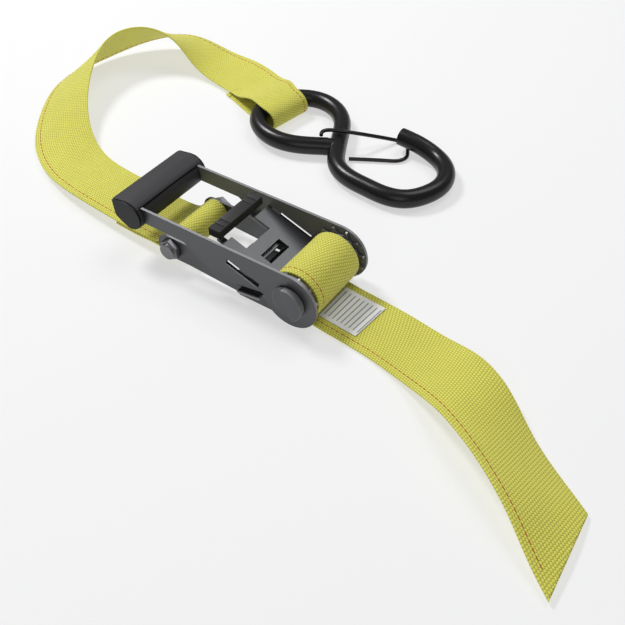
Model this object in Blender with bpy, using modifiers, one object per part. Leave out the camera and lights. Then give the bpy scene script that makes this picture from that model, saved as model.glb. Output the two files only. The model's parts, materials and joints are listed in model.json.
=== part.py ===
# Ratchet tie down: a lever ratchet with its frame, a short strap on the
# frame's bolt that ends in an S hook with a wire gate, and a long strap
# wound on the ratchet's spindle.
#
# +Z is up.  The origin is the centre of the underside of the frame's base
# plate, which lies in the plane the whole assembly rests on.  +X runs from
# the handle's grip to the spindle.  All dimensions are in metres.
import bpy
import bmesh
import math
import numpy as np
from mathutils import Matrix, Vector

MM = 0.001

# ---------------------------------------------------------------- dimensions
AXLE_X = 30.0 * MM            # spindle axis, from the base plate's centre
AXLE_Z = 22.3 * MM

WEBBING_WIDTH = 50.0 * MM
WEBBING_THICK = 1.9 * MM

FRAME_IN = 25.4 * MM          # inner face of a frame side, from mid-plane
FRAME_OUT = 27.4 * MM
WHEEL_IN = 27.7 * MM
WHEEL_OUT = 30.1 * MM
HANDLE_IN = 30.4 * MM
HANDLE_OUT = 32.4 * MM
HEAD_IN = 32.8 * MM
HEAD_LOW = 34.8 * MM
HEAD_HIGH = 37.6 * MM

BOSS_R = 21.8 * MM            # round end of the handle's sides
FRAME_BOSS_R = 17.0 * MM
SHAFT_R = 9.0 * MM
SHAFT_SLOT = 4.8 * MM
HEAD_R = 12.6 * MM
SLOT_TILT = math.radians(-71.0)

WHEEL_TIP_R = 21.0 * MM
WHEEL_ROOT_R = 16.8 * MM
TEETH = 12

CORE_R_IN = 9.35 * MM
CORE_R_OUT = 17.1 * MM
WRAP_R = 18.45 * MM           # middle of the outermost turn of webbing

RAIL_TOP = 44.1 * MM
RAIL_LOW = 32.0 * MM
ROD_DX = -139.3 * MM          # grip rod, from the spindle
ROD_Z = 38.0 * MM
ROD_R = 4.8 * MM
GRIP_HALF = 35.6 * MM
CAP_HALF = 37.3 * MM

WEB_SLOPE = math.atan(0.35)   # web plate falls towards the spindle
WEB_X0, WEB_X1 = -62.0 * MM, -22.0 * MM
WEB_Z_REF, WEB_X_REF = 28.5 * MM, -39.3 * MM
WEB_THICK = 2.0 * MM

BOLT_DX = -107.6 * MM
BOLT_Z = 14.4 * MM
BOLT_R = 5.0 * MM
SLEEVE_R = 8.3 * MM
LOOP_R = 9.75 * MM            # middle of the strap round the sleeve

LOCK_SLOPE = math.atan(0.1317)
LOCK_THICK = 2.4 * MM
LOCK_REF = (-42.0 * MM, 10.9 * MM)

HOOK_WIRE_R = 7.5 * MM
GATE_WIRE_R = 1.65 * MM
EYE_CENTRE = (-133.0 * MM, 172.0 * MM)
GATE_AXIS = (-74.0 * MM, 155.5 * MM)

# ---------------------------------------------------------------- scene setup
for ob in list(bpy.data.objects):
    bpy.data.objects.remove(ob, do_unlink=True)

parts = bpy.data.collections.new("ratchet_tie_down")
cutters = bpy.data.collections.new("cutters")
bpy.context.scene.collection.children.link(parts)
bpy.context.scene.collection.children.link(cutters)


def material(name, colour, rough, metal=0.0):
    m = bpy.data.materials.new(name)
    m.use_nodes = True
    b = m.node_tree.nodes["Principled BSDF"]
    b.inputs["Base Color"].default_value = (*colour, 1.0)
    b.inputs["Roughness"].default_value = rough
    b.inputs["Metallic"].default_value = metal
    return m


def finish(ob, colour, rough, metal=0.0, smooth=35.0):
    ob.data.materials.clear()
    ob.data.materials.append(material(ob.name + "_mat", colour, rough, metal))
    ob.data.shade_smooth()
    ob.data.set_sharp_from_angle(angle=math.radians(smooth))
    return ob


STEEL = (0.085, 0.088, 0.094)
BLACK = (0.012, 0.012, 0.013)
GRIP_GREY = (0.05, 0.05, 0.054)
YELLOW = (0.72, 0.76, 0.08)


def link(ob, coll=None):
    (coll or parts).objects.link(ob)
    return ob


def from_bmesh(name, bm, coll=None):
    me = bpy.data.meshes.new(name)
    bmesh.ops.recalc_face_normals(bm, faces=bm.faces)
    bm.to_mesh(me)
    bm.free()
    return link(bpy.data.objects.new(name, me), coll)


def box(name, lo, hi, coll=None, slope=0.0, about=None):
    """Box from corner lo to corner hi, turned by slope about +Y."""
    bm = bmesh.new()
    bmesh.ops.create_cube(bm, size=1.0)
    size = Vector(hi) - Vector(lo)
    mid = (Vector(hi) + Vector(lo)) / 2
    bmesh.ops.scale(bm, vec=size, verts=bm.verts)
    bmesh.ops.translate(bm, vec=mid, verts=bm.verts)
    if slope:
        bmesh.ops.rotate(bm, cent=Vector(about) if about else mid,
                         matrix=Matrix.Rotation(slope, 3, "Y"), verts=bm.verts)
    return from_bmesh(name, bm, coll)


def rod_y(name, x, z, r, y0, y1, segments=40, coll=None, r2=None):
    """Cylinder or cone along Y."""
    bm = bmesh.new()
    bmesh.ops.create_cone(bm, cap_ends=True, cap_tris=False, segments=segments,
                          radius1=r, radius2=r if r2 is None else r2,
                          depth=y1 - y0)
    bmesh.ops.rotate(bm, cent=(0, 0, 0),
                     matrix=Matrix.Rotation(math.radians(-90), 3, "X"),
                     verts=bm.verts)
    bmesh.ops.translate(bm, vec=(x, (y0 + y1) / 2, z), verts=bm.verts)
    return from_bmesh(name, bm, coll)


def arc(cx, cz, r, a0, a1, n):
    """Points of an arc, angles in degrees, both ends included."""
    return [(cx + r * math.cos(math.radians(a0 + (a1 - a0) * i / n)),
             cz + r * math.sin(math.radians(a0 + (a1 - a0) * i / n)))
            for i in range(n + 1)]


def to_mesh(curve_ob, name, coll=None):
    """Turn a curve object into a welded mesh object in the same place."""
    bpy.context.view_layer.update()
    deps = bpy.context.evaluated_depsgraph_get()
    me = bpy.data.meshes.new_from_object(curve_ob.evaluated_get(deps))
    me.name = name
    bm = bmesh.new()
    bm.from_mesh(me)
    bmesh.ops.remove_doubles(bm, verts=bm.verts, dist=0.00002)
    bmesh.ops.dissolve_degenerate(bm, edges=bm.edges, dist=0.000005)
    bmesh.ops.recalc_face_normals(bm, faces=bm.faces)
    bm.to_mesh(me)
    bm.free()
    me.transform(curve_ob.matrix_world)
    bpy.data.objects.remove(curve_ob, do_unlink=True)
    return link(bpy.data.objects.new(name, me), coll)


def plate(name, outlines, thick, rot=(math.radians(90), 0, 0), loc=(0, 0, 0),
          coll=None):
    """Flat plate from closed outlines in its own plane; inner ones are holes.
    With the default rotation the outline's two numbers are X and Z."""
    cu = bpy.data.curves.new(name + "_outline", "CURVE")
    cu.dimensions = "2D"
    cu.fill_mode = "BOTH"
    cu.extrude = thick / 2
    for pts in outlines:
        sp = cu.splines.new("POLY")
        sp.points.add(len(pts) - 1)
        for p, (u, v) in zip(sp.points, pts):
            p.co = (u, v, 0.0, 1.0)
        sp.use_cyclic_u = True
    ob = link(bpy.data.objects.new(name + "_outline", cu), coll)
    ob.rotation_euler = rot
    ob.location = loc
    return to_mesh(ob, name, coll)


def hide_cutter(ob):
    for c in list(ob.users_collection):
        c.objects.unlink(ob)
    cutters.objects.link(ob)
    ob.hide_render = True
    ob.display_type = "WIRE"
    return ob


def boolean(ob, other, op="DIFFERENCE"):
    hide_cutter(other)
    m = ob.modifiers.new(other.name, "BOOLEAN")
    m.operation = op
    m.object = other
    m.solver = "EXACT"
    return ob


def bevel(ob, width, segments=1, angle=40.0):
    m = ob.modifiers.new("edge", "BEVEL")
    m.width = width
    m.segments = segments
    m.limit_method = "ANGLE"
    m.angle_limit = math.radians(angle)
    m.use_clamp_overlap = True
    m.harden_normals = False
    return ob


def pivot(name, at):
    """Empty on a joint's axis."""
    e = bpy.data.objects.new(name, None)
    e.empty_display_size = 0.02
    e.location = at
    parts.objects.link(e)
    return e


def hang(ob, parent):
    ob.parent = parent
    ob.matrix_parent_inverse = Matrix.Translation(parent.location).inverted()
    return ob


# ---------------------------------------------------------------- curves
def spline(points, samples):
    """Natural cubic spline through rows of numbers, by chord length."""
    p = np.array(points, float)
    d = np.r_[0, np.cumsum(np.linalg.norm(np.diff(p[:, :3], axis=0), axis=1))]
    n = len(d)
    h = np.diff(d)
    a = np.zeros((n, n))
    b = np.zeros((n, p.shape[1]))
    a[0, 0] = a[-1, -1] = 1.0
    for i in range(1, n - 1):
        a[i, i - 1], a[i, i], a[i, i + 1] = h[i - 1], 2 * (h[i - 1] + h[i]), h[i]
        b[i] = 6 * ((p[i + 1] - p[i]) / h[i] - (p[i] - p[i - 1]) / h[i - 1])
    m = np.linalg.solve(a, b)
    out = []
    for u in np.linspace(0, d[-1], samples):
        i = min(int(np.searchsorted(d, u, side="right")) - 1, n - 2)
        s, t = d[i + 1] - u, u - d[i]
        out.append((m[i] * s ** 3 + m[i + 1] * t ** 3) / (6 * h[i])
                   + (p[i] / h[i] - m[i] * h[i] / 6) * s
                   + (p[i + 1] / h[i] - m[i + 1] * h[i] / 6) * t)
    return np.array(out)


def wire(name, pts, r, resolution=2, coll=None):
    """Round wire along points, as a closed mesh."""
    cu = bpy.data.curves.new(name + "_line", "CURVE")
    cu.dimensions = "3D"
    cu.bevel_depth = r
    cu.bevel_resolution = resolution
    cu.use_fill_caps = True
    sp = cu.splines.new("POLY")
    sp.points.add(len(pts) - 1)
    for q, c in zip(sp.points, pts):
        q.co = (float(c[0]), float(c[1]), float(c[2]), 1.0)
    ob = link(bpy.data.objects.new(name + "_line", cu), coll)
    return to_mesh(ob, name, coll)


def strap(name, stations, samples, across=2, thick=WEBBING_THICK, lift=0.0,
          keep=None):
    """Webbing along stations (x, y, z, bank, skew, width factor), x and z
    from the spindle's floor point, in mm and degrees.  bank lifts the left
    edge, skew turns the weft in plan.  keep is a range of samples to use and
    lift moves them along the sheet's normal."""
    rows = spline([[a * MM for a in s[:3]] + list(s[3:6]) for s in stations],
                  samples)
    centre = rows[:, :3]
    tangent = np.gradient(centre, axis=0)
    left_prev = None
    frames = []
    for i in range(samples):
        t = Vector(tangent[i]).normalized()
        flat = Vector((t.x, t.y, 0))
        if flat.length > 0.05 and (left_prev is None or
                                   abs(t.z) < 0.9):
            left = Vector((-t.y, t.x, 0)).normalized()
            if left_prev is not None and left.dot(left_prev) < 0:
                left = -left
        else:
            left = left_prev.copy()
        left_prev = left
        left = Matrix.Rotation(math.radians(rows[i, 4]), 3, "Z") @ left
        left.normalize()
        up = t.cross(left).normalized()
        bank = math.radians(rows[i, 3])
        side = left * math.cos(bank) + up * math.sin(bank)
        # the lower edge rests on the ground, never below it
        centre[i][2] = max(centre[i][2], WEBBING_THICK / 2 + abs(side.z)
                           * WEBBING_WIDTH * rows[i, 5] / 2)
        frames.append((Vector(centre[i]) + t.cross(side).normalized() * lift,
                       side, rows[i, 5]))
    if keep:
        frames = frames[keep[0]:keep[1]]
        samples = len(frames)
    bm = bmesh.new()
    bmesh.ops.create_grid(bm, x_segments=samples - 1, y_segments=across,
                          size=0.5)
    for v in bm.verts:
        i = int(round((v.co.x + 0.5) * (samples - 1)))
        c, left, k = frames[i]
        v.co = (c + left * (v.co.y * WEBBING_WIDTH * k)
                + Vector((AXLE_X, 0, 0)))
    ob = from_bmesh(name, bm)
    m = ob.modifiers.new("thickness", "SOLIDIFY")
    m.thickness = thick
    m.offset = 0.0
    m.use_even_offset = True
    m.use_rim = True
    return ob


def A(dx):
    """X of a point given from the spindle, in mm."""
    return AXLE_X + dx * MM


def web_z(dx):
    """Top of the web plate at dx metres from the spindle."""
    return WEB_Z_REF - math.tan(WEB_SLOPE) * (dx - WEB_X_REF)


# ================================================================= frame
LDX, LDZ = math.cos(LOCK_SLOPE), math.sin(LOCK_SLOPE)


def frame_outline():
    ear = arc(-111.3, 14.3, 9.5, 90, 260, 14)
    lower = [(-92.0, 5.0), (-71.0, 3.8), (-50.0, 2.6), (-46.5, 0.0),
             (-15.0, 0.0)]
    boss = arc(0, 22.3, FRAME_BOSS_R / MM, -112, 206, 32)
    back = [(-18.6, 14.4), (-26.0, 16.8), (-66.0, 23.8)]
    # ear runs down the end, then along the bottom, round the boss and back
    return [(A(x), z * MM) for x, z in ear + lower + boss + back]


def circle(x, z, r, n=32):
    return [(x + r * math.cos(2 * math.pi * i / n),
             z + r * math.sin(2 * math.pi * i / n)) for i in range(n)]


frame_side = [frame_outline(),
              circle(AXLE_X, AXLE_Z, SHAFT_R + 0.35 * MM),
              circle(AXLE_X + BOLT_DX, BOLT_Z, BOLT_R + 0.3 * MM, 24)]
base_frame = plate("base_frame", frame_side, FRAME_OUT - FRAME_IN,
                   loc=(0, (FRAME_IN + FRAME_OUT) / 2, 0))
far_side = plate("frame_side_far", frame_side, FRAME_OUT - FRAME_IN,
                 loc=(0, -(FRAME_IN + FRAME_OUT) / 2, 0))
boolean(base_frame, far_side, "UNION")
boolean(base_frame, box("frame_floor", (A(-46.0), -26.4 * MM, 0),
                        (A(-14.5), 26.4 * MM, 2.0 * MM)), "UNION")
boolean(base_frame, box("frame_tongue", (A(-62.0), -24.0 * MM, 0.0),
                        (A(-45.0), 24.0 * MM, 2.0 * MM)), "UNION")
boolean(base_frame, box("frame_spring_lug", (A(-58.0), -5.0 * MM, 0.5 * MM),
                        (A(-56.0), 5.0 * MM, 13.0 * MM)), "UNION")
# slots that guide the lock pawl, long enough for its travel
mid = (A(-36.5), 0, (LOCK_REF[1] + 5.5 * MM * 0.1317))
slot = box("lock_slot", (A(-49.2), -40 * MM, mid[2] - 1.55 * MM),
           (A(-24.6), 40 * MM, mid[2] + 1.55 * MM), slope=-LOCK_SLOPE,
           about=mid)
boolean(base_frame, slot)
finish(base_frame, STEEL, 0.38, 1.0)

# ================================================================= strap bolt
bolt = rod_y("strap_bolt", A(-107.6), BOLT_Z, BOLT_R, -30 * MM, 33.5 * MM, 28)
hexa = rod_y("bolt_head_hex", A(-107.6), BOLT_Z, 8.6 * MM, -31.4 * MM,
             -27.7 * MM, 6)
boolean(bolt, hexa, "UNION")
boolean(bolt, rod_y("bolt_head_boss", A(-107.6), BOLT_Z, 6.2 * MM, -33.8 * MM,
                    -31.0 * MM, 28, r2=6.9 * MM), "UNION")
finish(bolt, STEEL, 0.35, 1.0)

nut = rod_y("bolt_nut", A(-107.6), BOLT_Z, 8.6 * MM, 28.9 * MM, 32.9 * MM, 6)
boolean(nut, rod_y("nut_bore", A(-107.6), BOLT_Z, BOLT_R + 0.3 * MM, 25 * MM,
                   36 * MM, 28))
finish(nut, STEEL, 0.35, 1.0)
washer = plate("bolt_washer", [circle(A(-107.6), BOLT_Z, 9.0 * MM, 32),
                               circle(A(-107.6), BOLT_Z, BOLT_R + 0.3 * MM, 24)],
               0.9 * MM, loc=(0, 28.15 * MM, 0))
finish(washer, (0.2, 0.2, 0.21), 0.3, 1.0)
sleeve = rod_y("bolt_sleeve", A(-107.6), BOLT_Z, SLEEVE_R, -25.1 * MM,
               25.1 * MM, 32)
boolean(sleeve, rod_y("sleeve_bore", A(-107.6), BOLT_Z, BOLT_R + 0.3 * MM,
                      -30 * MM, 30 * MM, 28))
finish(sleeve, (0.25, 0.25, 0.26), 0.4, 1.0)

# ================================================================= lock pawl
# plan outline in the pawl's own plane: u along its slide, v across
half = [(-43.0, 35.0), (-23.6, 35.0), (-23.6, 29.9), (-16.3, 29.9),
        (-16.3, 27.9), (-25.2, 27.9)]
outline = [(u, -v) for u, v in half] + [(u, v) for u, v in reversed(half)]
pawl = plate("lock_pawl", [[((u + 42.0) / LDX * MM, v * MM)
                            for u, v in outline]], LOCK_THICK,
             rot=(0, -LOCK_SLOPE, 0),
             loc=(A(-42.0), 0, LOCK_REF[1]))
bevel(pawl, 0.5 * MM, 1)
finish(pawl, STEEL, 0.36, 1.0)


def coil(name, start, end, r, wire_r, turns, steps=10, sides=1):
    """Compression spring from start to end."""
    s, e = Vector(start), Vector(end)
    axis = (e - s).normalized()
    u = axis.cross(Vector((0, 1, 0))).normalized()
    v = axis.cross(u)
    pts = []
    n = int(turns * steps)
    for i in range(n + 1):
        f = i / n
        # the two end turns lie flat
        g = min(max((f * turns - 0.75) / (turns - 1.5), 0.0), 1.0)
        flat = 1.05 * wire_r * 2 * (min(f * turns, 0.75) / 0.75
                                    + max(f * turns - turns + 0.75, 0) / 0.75)
        length = (e - s).length - 2 * 2.1 * wire_r
        a = 2 * math.pi * turns * f
        pts.append(s + axis * (flat + g * length)
                   + u * (r * math.cos(a)) + v * (r * math.sin(a)))
    return wire(name, pts, wire_r, sides)


def along_lock(u, w=0.0):
    """Point at X u mm from the spindle on the lock pawl's mid-plane."""
    return (A(u), 0.0, LOCK_REF[1] + (u * MM - LOCK_REF[0]) * 0.1317 + w)


spring = coil("lock_pawl_spring", along_lock(-54.9), along_lock(-44.3),
              2.2 * MM, 0.4 * MM, 6.0)
finish(spring, (0.3, 0.3, 0.31), 0.3, 1.0)

# ================================================================= handle
handle_axis = pivot("handle_axis", (AXLE_X, 0, AXLE_Z))


def handle_outline():
    end = arc(-139.3, 38.05, 6.05, 90, 270, 12)
    lower = [(-90.5, 31.4), (-89.0, 30.6), (-57.6, 9.6), (-56.2, 9.4),
             (-54.3, 12.9), (-45.3, 15.1), (-24.5, 18.6)]
    boss = arc(0, 22.3, BOSS_R / MM, 192, 450, 44)
    return [(A(x), z * MM) for x, z in end + lower + boss]


handle_holes = [circle(AXLE_X, AXLE_Z, SHAFT_R + 0.35 * MM),
                circle(AXLE_X + ROD_DX, ROD_Z, ROD_R + 0.25 * MM, 24)]
handle = plate("handle_frame", [handle_outline()] + handle_holes,
               HANDLE_OUT - HANDLE_IN,
               loc=(0, -(HANDLE_IN + HANDLE_OUT) / 2, 0))
boolean(handle, plate("handle_side_far", [handle_outline()] + handle_holes,
                      HANDLE_OUT - HANDLE_IN,
                      loc=(0, (HANDLE_IN + HANDLE_OUT) / 2, 0)), "UNION")
wx = (WEB_X0 + WEB_X1) / 2
web_len = (WEB_X1 - WEB_X0) / math.cos(WEB_SLOPE)


def web_box(name, u0, u1, y0, y1, w0=-WEB_THICK, w1=0.0):
    """Box in the web plate's own directions: u from the plate's end by the
    grip, y across, w up from its top face."""
    c = Vector((AXLE_X + WEB_X0, 0, web_z(WEB_X0)))
    return box(name, (c.x + u0, y0, c.z + w0), (c.x + u1, y1, c.z + w1),
               slope=WEB_SLOPE, about=c)


boolean(handle, web_box("web_plate", 0, web_len, -31 * MM, 31 * MM), "UNION")
boolean(handle, web_box("web_notch", -1 * MM, 13.8 * MM, -13.5 * MM, 13.5 * MM,
                        -4 * MM, 2 * MM))
boolean(handle, web_box("web_window", 24.0 * MM, 33.6 * MM, -10.8 * MM,
                        10.8 * MM, -4 * MM, 2 * MM))
for side, s in (("near", -1), ("far", 1)):
    y0, y1 = sorted((s * 28.7 * MM, s * 30.35 * MM))
    boolean(handle, web_box("web_edge_slot_" + side, 3.0 * MM, 38.5 * MM,
                            y0, y1, -4 * MM, 3 * MM))
    # pressed guide in the side above the drive pawl
    y0, y1 = sorted((s * 29.0 * MM, s * 34 * MM))
    boolean(handle, web_box("side_slot_" + side, 10.5 * MM, 39.0 * MM,
                            y0, y1, -2.4 * MM, 1.8 * MM))
boolean(handle, web_box("spring_tab", 13.8 * MM, 15.4 * MM, -3 * MM, 3 * MM,
                        -7.4 * MM, -0.5 * MM), "UNION")
finish(handle, STEEL, 0.36, 1.0)
hang(handle, handle_axis)


def grip_outline(grow=0.0):
    pts = [(-151.6, 46.0)]
    pts += [(-150.6, 33.5), (-149.0, 31.4), (-144.3, 28.4), (-139.5, 25.9)]
    pts += arc(-137.0, 36.6, 11.4, 262, 440, 20)
    pts += [(-137.0 - 2.5, 48.1)]
    out = []
    for x, z in pts:
        dx, dz = x + 138.5, z - 37.0
        k = 1 + grow / max(math.hypot(dx, dz), 1e-6)
        out.append((A(-138.5 + dx * k), (37.0 + dz * k) * MM))
    return out


grip = plate("grip_sleeve", [grip_outline()], 2 * GRIP_HALF)
for s in (-1, 1):
    y0, y1 = sorted((s * (HANDLE_IN - 0.3 * MM), s * (HANDLE_OUT + 0.3 * MM)))
    boolean(grip, box("grip_rail_slot_%d" % s, (A(-145.8), y0, 31.6 * MM),
                      (A(-120), y1, RAIL_TOP + 0.4 * MM)))
boolean(grip, rod_y("grip_bore", AXLE_X + ROD_DX, ROD_Z, ROD_R + 0.3 * MM,
                    -33.2 * MM, 33.2 * MM, 28))
for i, y in enumerate((-22.5, -13.5, 10.5, 19.5)):
    boolean(grip, box("grip_groove_%d" % i, (A(-156), (y - 0.4) * MM,
                                             46.7 * MM),
                      (A(-139.5), (y + 0.4) * MM, 52 * MM),
                      slope=math.radians(-11), about=(A(-148), 0, 46.7 * MM)))
finish(grip, GRIP_GREY, 0.5, 0.0)
hang(grip, handle_axis)

for side, s in (("near", -1), ("far", 1)):
    y = s * (GRIP_HALF + 0.3 * MM + CAP_HALF) / 2
    cap = plate("grip_cap_" + side, [grip_outline(-0.5)],
                CAP_HALF - GRIP_HALF - 0.3 * MM, loc=(0, y, 0))
    bevel(cap, 0.4 * MM, 1, 50)
    finish(cap, BLACK, 0.45, 0.0)
    hang(cap, handle_axis)

rod = rod_y("grip_rod", AXLE_X + ROD_DX, ROD_Z, ROD_R, -32.9 * MM, 32.9 * MM, 28)
finish(rod, (0.3, 0.3, 0.31), 0.35, 1.0)
hang(rod, handle_axis)

# ================================================================= drive pawl
P_TOP = -WEB_THICK - 1.6 * MM
P_LOW = P_TOP - 2.0 * MM
c0 = Vector((AXLE_X + WEB_X0, 0, web_z(WEB_X0)))
web_turn = Matrix.Rotation(WEB_SLOPE, 3, "Y")


def in_web(u, w, y=0.0):
    """Point from the web plate's end: u mm along it, w metres above it."""
    return c0 + web_turn @ Vector((u * MM, y * MM, w))


# half plan outline: an arm by the notch, a waist, and the nose at the wheel
half = [(-7.2, 14.8), (-7.2, 19.8), (14.9, 19.8), (16.2, 22.0), (34.0, 22.0),
        (36.0, 29.9), (44.6, 29.9), (44.6, 26.4), (42.2, 25.0)]
inner = [(24.8, 3.5), (12.2, 3.5), (12.2, 14.8)]
drive = plate("drive_pawl",
              [[(u * MM, v * MM) for u, v in
                half + [(u, -v) for u, v in half[::-1]]
                + [(u, -v) for u, v in inner[::-1]] + inner],
               [(26.6 * MM, -12.4 * MM), (35.4 * MM, -12.4 * MM),
                (35.4 * MM, 12.4 * MM), (26.6 * MM, 12.4 * MM)]],
              P_TOP - P_LOW, rot=(0, WEB_SLOPE, 0),
              loc=in_web(0, (P_TOP + P_LOW) / 2))
for side, s in (("near", -1), ("far", 1)):
    y0, y1 = sorted((s * 15.2 * MM, s * 19.4 * MM))
    boolean(drive, box("drive_riser_" + side, (A(-69.4), y0, 34.4 * MM),
                       (A(-67.4), y1, 44.0 * MM)), "UNION")
bevel(drive, 0.3 * MM, 1, 50)
finish(drive, STEEL, 0.36, 1.0)
hang(drive, handle_axis)

bar = box("pull_bar", (A(-73.0), -24.5 * MM, 40.6 * MM),
          (A(-63.0), 24.5 * MM, 47.2 * MM))
for i, y in enumerate((-18.0, -12.6, 12.6, 18.0)):
    boolean(bar, box("bar_groove_%d" % i, (A(-80), (y - 0.35) * MM, 46.6 * MM),
                     (A(-55), (y + 0.35) * MM, 50 * MM)))
for side, s in (("near", -1), ("far", 1)):
    y0, y1 = sorted((s * 14.9 * MM, s * 19.7 * MM))
    boolean(bar, box("bar_pocket_" + side, (A(-69.7), y0, 38 * MM),
                     (A(-67.1), y1, 44.3 * MM)))
bevel(bar, 0.5 * MM, 1, 50)
finish(bar, BLACK, 0.5, 0.0)
hang(bar, handle_axis)

dspring = coil("drive_pawl_spring", in_web(16.0, (P_TOP + P_LOW) / 2),
               in_web(24.1, (P_TOP + P_LOW) / 2), 1.9 * MM, 0.35 * MM, 5.0)
finish(dspring, (0.3, 0.3, 0.31), 0.3, 1.0)
hang(dspring, handle_axis)

# ================================================================= spindle
spool_axis = pivot("spool_axis", (AXLE_X, 0, AXLE_Z))
cut_dir = Vector((math.cos(SLOT_TILT), 0, math.sin(SLOT_TILT)))
cut_nrm = Vector((-cut_dir.z, 0, cut_dir.x)).normalized()


def half_space(name, side, gap, y0, y1):
    """Large box on one side of the spindle's slot plane."""
    b = box(name, (0, y0, -60 * MM), (60 * MM, y1, 60 * MM))
    ang = math.atan2(-cut_nrm.z * side, cut_nrm.x * side)
    b.data.transform(Matrix.Translation(
        Vector((AXLE_X, 0, AXLE_Z)) + cut_nrm * (side * gap))
        @ Matrix.Rotation(ang, 4, "Y"))
    return b


for label, side, high, low in (("upper", 1, HEAD_HIGH, HEAD_HIGH),
                               ("lower", -1, HEAD_LOW, HEAD_LOW)):
    shaft = rod_y("spindle_half_" + label, AXLE_X, AXLE_Z, SHAFT_R,
                  -33.2 * MM, 33.2 * MM, 40)
    boolean(shaft, half_space("slot_side_" + label, -side, -SHAFT_SLOT / 2,
                              -50 * MM, 50 * MM))
    for end, s in (("near", -1), ("far", 1)):
        y0, y1 = sorted((s * HEAD_IN, s * high))
        head = rod_y("head_%s_%s" % (label, end), AXLE_X, AXLE_Z, HEAD_R,
                     y0, y1, 40)
        boolean(head, half_space("head_side_%s_%s" % (label, end), -side,
                                 -0.45 * MM, -50 * MM, 50 * MM))
        boolean(shaft, head, "UNION")
    bevel(shaft, 0.5 * MM, 1, 50)
    finish(shaft, STEEL, 0.34, 1.0)
    hang(shaft, spool_axis)

# ratchet wheels: each tooth has an undercut face that the lock pawl holds
nose_top = Vector(((-16.9 * MM), 0.0, 0.0))
nose_top.z = (LOCK_REF[1] + (nose_top.x - LOCK_REF[0]) * 0.1317
              + LOCK_THICK / 2 / LDX) - AXLE_Z
face_root = math.degrees(math.atan2(nose_top.z, nose_top.x)) - 1.0
wheel_pts = []
for k in range(TEETH):
    a = face_root + 360.0 / TEETH * k
    for r, off in ((16.8, 0.0), (21.0, -4.6), (21.0, -8.6), (16.8, -17.6)):
        wheel_pts.append((AXLE_X + r * MM * math.cos(math.radians(a + off)),
                          AXLE_Z + r * MM * math.sin(math.radians(a + off))))
order = []
for k in range(TEETH):
    order += list(reversed(wheel_pts[4 * k:4 * k + 4]))


def half_hole(side):
    """D-shaped hole for one half of the spindle."""
    r, d = SHAFT_R + 0.3 * MM, SHAFT_SLOT / 2 - 0.3 * MM
    mid_a = math.degrees(math.atan2(cut_nrm.z * side, cut_nrm.x * side))
    open_a = math.degrees(math.acos(d / r))
    return arc(AXLE_X, AXLE_Z, r, mid_a - open_a, mid_a + open_a, 20)


for label, s in (("near", -1), ("far", 1)):
    w = plate("ratchet_wheel_" + label,
              [order, half_hole(1), half_hole(-1)],
              WHEEL_OUT - WHEEL_IN,
              loc=(0, s * (WHEEL_IN + WHEEL_OUT) / 2, 0))
    finish(w, (0.3, 0.3, 0.31), 0.3, 1.0)
    hang(w, spool_axis)

# wound webbing under the outermost turn, with the layers in the slot
core = rod_y("webbing_core", AXLE_X, AXLE_Z, CORE_R_OUT, -24.9 * MM,
             24.9 * MM, 56)
boolean(core, rod_y("core_bore", AXLE_X, AXLE_Z, CORE_R_IN, -30 * MM, 30 * MM,
                    40))
slab = box("core_slab", (-10.2 * MM, -24.9 * MM, -2.0 * MM),
           (10.2 * MM, 24.9 * MM, 2.0 * MM))
slab.data.transform(Matrix.Translation((AXLE_X, 0, AXLE_Z))
                    @ Matrix.Rotation(-SLOT_TILT, 4, "Y"))
boolean(core, slab, "UNION")
finish(core, YELLOW, 0.85)
hang(core, spool_axis)

# ================================================================= long strap
turn = []
for i in range(13):
    # from the lower right over the top and down the left to the underside
    a = math.radians(-30 + 300.0 * i / 12)
    turn.append((WRAP_R / MM * math.cos(a), 0.0,
                 AXLE_Z / MM + WRAP_R / MM * math.sin(a), 0.0, 0.0, 1.0))
tail_route = [(12.0, 0.0, 2.2, 0, 0, 1), (24.0, -0.4, 1.1, 0, 0, 1),
              (42.0, -1.8, 1.0, 0, 0, 1), (62.4, -4.2, 1.4, 0, 0, 1),
              (90.0, -10.8, 4.0, 2.1, 0, 1), (114.8, -20.9, 11.6, 6.2, 0, 1),
              (135.4, -31.7, 15.2, -1.4, 0, 1),
              (162.4, -48.5, 12.2, -17.3, 0, 1),
              (182.5, -61.6, 10.0, -20.0, 0, 1),
              (204.0, -76.0, 7.6, -15.3, 0, 1),
              (226.0, -91.5, 3.2, -6.0, 0, 1),
              (252.0, -109.5, 1.0, 0, 0, 1)]
tail = strap("long_strap", turn + tail_route, 110, 1)
# free end cut at an angle
cut = box("tail_cut", (0, -120 * MM, -30 * MM), (90 * MM, 120 * MM, 60 * MM))
cut.data.transform(Matrix.Translation((A(226.2), -93.3 * MM, 0))
                   @ Matrix.Rotation(math.radians(2.5), 4, "Z"))
boolean(tail, cut)
finish(tail, YELLOW, 0.85)

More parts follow.
